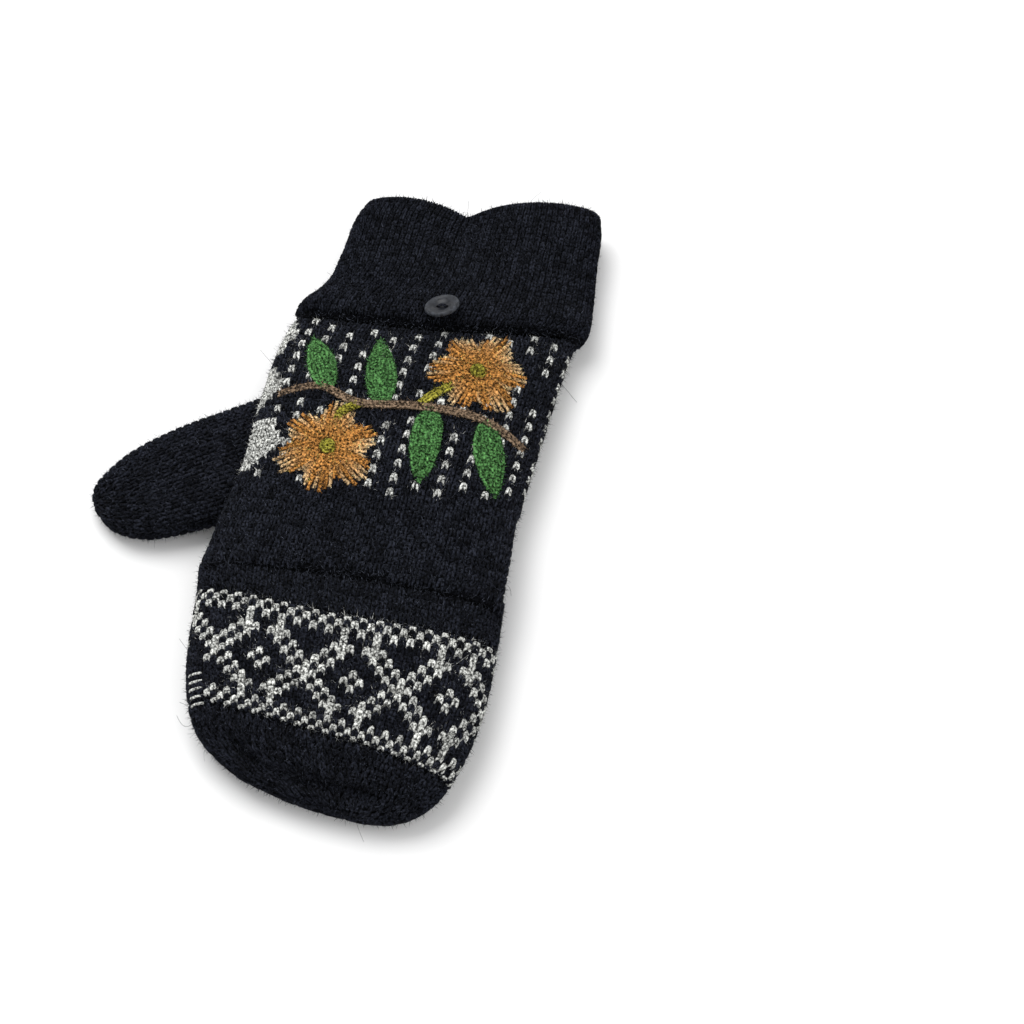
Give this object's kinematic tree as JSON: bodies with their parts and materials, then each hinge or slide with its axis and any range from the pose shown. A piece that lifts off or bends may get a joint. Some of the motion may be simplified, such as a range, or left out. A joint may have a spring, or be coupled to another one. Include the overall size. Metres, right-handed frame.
{
  "type": "convertible mitten",
  "caption": "Knitted wool convertible mitten for a left hand, with a ribbed cuff, half fingers and a fold-back cap that buttons at the wrist.",
  "frame": {"origin": "middle of the footprint, on the surface that the mitten lies on, palm down", "axes": "+Y towards the cuff's open edge, +Z out of the back of the hand, -X towards the thumb"},
  "size_m": [0.1552, 0.2504, 0.0338],
  "materials": {
    "black_wool": "soft, fuzzy knit",
    "pattern_wool": "soft, fuzzy knit in black, cream, amber and green yarns",
    "button_plastic": "satin, cloudy",
    "thread": "matte"
  },
  "bodies": {
    "root": {"cuff": "black_wool", "hand": "pattern_wool", "thumb": "black_wool", "half_fingers": "black_wool", "cap": "pattern_wool", "button": "button_plastic", "button_thread": "thread", "button_loop": "thread"}
  },
  "joints": []
}
